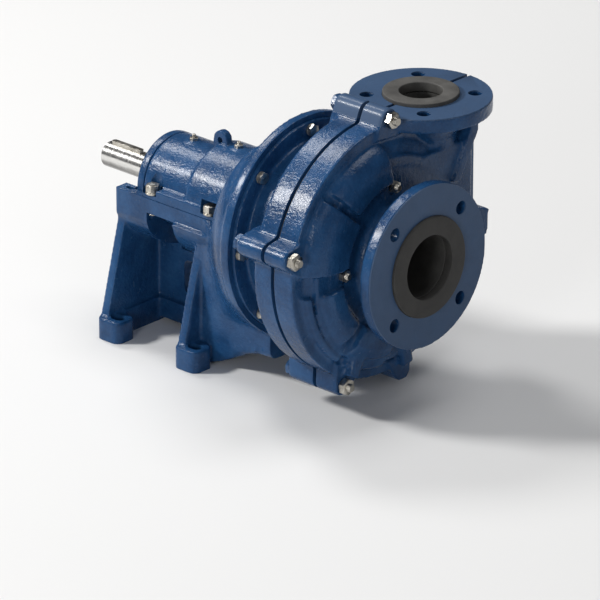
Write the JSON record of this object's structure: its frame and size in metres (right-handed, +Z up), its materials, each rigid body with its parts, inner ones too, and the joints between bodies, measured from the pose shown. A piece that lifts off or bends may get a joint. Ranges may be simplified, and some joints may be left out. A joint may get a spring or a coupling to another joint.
{
  "type": "horizontal slurry pump",
  "caption": "Horizontal centrifugal slurry pump with a split, rubber lined casing, closed impeller, stuffing box and an adjustable bearing cartridge on a cast pedestal.",
  "frame": {"origin": "on the floor under the shaft's centre line, midway between the pedestal's feet", "axes": "+X along the shaft towards the suction flange, +Y towards the discharge flange's side, +Z up"},
  "size_m": [0.4945, 0.3369, 0.3454],
  "materials": {
    "blue_paint": "semi-gloss blue enamel over rough castings",
    "liner_rubber": "matt natural rubber, dusty",
    "plated_steel": "zinc plated, slightly yellow",
    "shaft_steel": "ground steel",
    "bearing_steel": "ground and polished bearing steel",
    "wear_iron": "as cast hard iron",
    "packing_rope": "braided and greased",
    "lantern_brass": "turned"
  },
  "bodies": {
    "pump_frame": {"base": "blue_paint", "frame_plate": "blue_paint", "cover_plate": "blue_paint", "frame_plate_liner": "liner_rubber", "cover_plate_liner": "liner_rubber", "throatbush": "liner_rubber", "intake_joint": "liner_rubber", "discharge_joint": "liner_rubber", "cover_bolt_1": "plated_steel", "cover_bolt_2": "plated_steel", "cover_bolt_3": "plated_steel", "cover_bolt_4": "plated_steel", "cover_bolt_5": "plated_steel", "cover_nut_1": "plated_steel", "cover_nut_2": "plated_steel", "cover_nut_3": "plated_steel", "frame_plate_bolt_1": "plated_steel", "frame_plate_bolt_2": "plated_steel", "frame_plate_bolt_3": "plated_steel", "frame_plate_bolt_4": "plated_steel", "frame_plate_bolt_5": "plated_steel", "frame_plate_bolt_6": "plated_steel", "frame_plate_bolt_7": "plated_steel", "frame_plate_bolt_8": "plated_steel", "liner_stud_nut_1": "plated_steel", "liner_stud_nut_2": "plated_steel", "liner_stud_nut_3": "plated_steel", "liner_stud_nut_4": "plated_steel", "clamp_bolt_1": "plated_steel", "clamp_bolt_2": "plated_steel", "clamp_bolt_3": "plated_steel", "clamp_bolt_4": "plated_steel", "stuffing_box": "blue_paint", "packing_ring_1": "packing_rope", "lantern_ring": "lantern_brass", "packing_ring_2": "packing_rope", "gland_stud_1": "plated_steel", "gland_stud_2": "plated_steel"},
    "bearing_cartridge": {"bearing_housing": "blue_paint", "drive_end_cover": "blue_paint", "pump_end_cover": "blue_paint", "grease_nipple_1": "plated_steel", "grease_nipple_2": "plated_steel", "drive_bearing_outer_ring": "bearing_steel", "pump_bearing_outer_ring": "bearing_steel"},
    "rotor": {"shaft": "shaft_steel", "shaft_key": "plated_steel", "shaft_sleeve": "shaft_steel", "impeller": "wear_iron", "drive_bearing_inner_ring": "bearing_steel", "pump_bearing_inner_ring": "bearing_steel", "drive_labyrinth": "wear_iron", "pump_labyrinth": "wear_iron"},
    "drive_cage": {"drive_bearing_rollers": "bearing_steel"},
    "pump_cage": {"pump_bearing_rollers": "bearing_steel"},
    "gland": {"gland": "blue_paint", "gland_nut_1": "plated_steel", "gland_nut_2": "plated_steel"},
    "adjusting_screw": {"adjusting_screw": "plated_steel", "adjusting_lock_nut": "plated_steel"}
  },
  "joints": [
    {"name": "bearing_slide", "type": "slide", "parent": "pump_frame", "child": "bearing_cartridge", "axis": [1, 0, 0], "range_m": [-0.003, 0.001]},
    {"name": "rotor_spin", "type": "hinge", "parent": "bearing_cartridge", "child": "rotor", "pos_m": [0, 0, 0.1775], "axis": [1, 0, 0], "continuous": true},
    {"name": "drive_cage_spin", "type": "hinge", "parent": "bearing_cartridge", "child": "drive_cage", "pos_m": [-0.0275, 0, 0.1775], "axis": [1, 0, 0], "continuous": true},
    {"name": "pump_cage_spin", "type": "hinge", "parent": "bearing_cartridge", "child": "pump_cage", "pos_m": [0.0755, 0, 0.1775], "axis": [1, 0, 0], "continuous": true},
    {"name": "adjusting_screw_turn", "type": "hinge", "parent": "pump_frame", "child": "adjusting_screw", "pos_m": [0, 0, 0.1095], "axis": [1, 0, 0], "range_deg": [-541, 181]},
    {"name": "gland_slide", "type": "slide", "parent": "pump_frame", "child": "gland", "axis": [1, 0, 0], "range_m": [-0.01, 0]}
  ],
  "couplings": [
    {"joint": "drive_cage_spin", "follows": "rotor_spin", "ratio": 0.433},
    {"joint": "pump_cage_spin", "follows": "rotor_spin", "ratio": 0.44},
    {"joint": "adjusting_screw_turn", "follows": "bearing_slide", "rad_per_m": 3141.6}
  ]
}
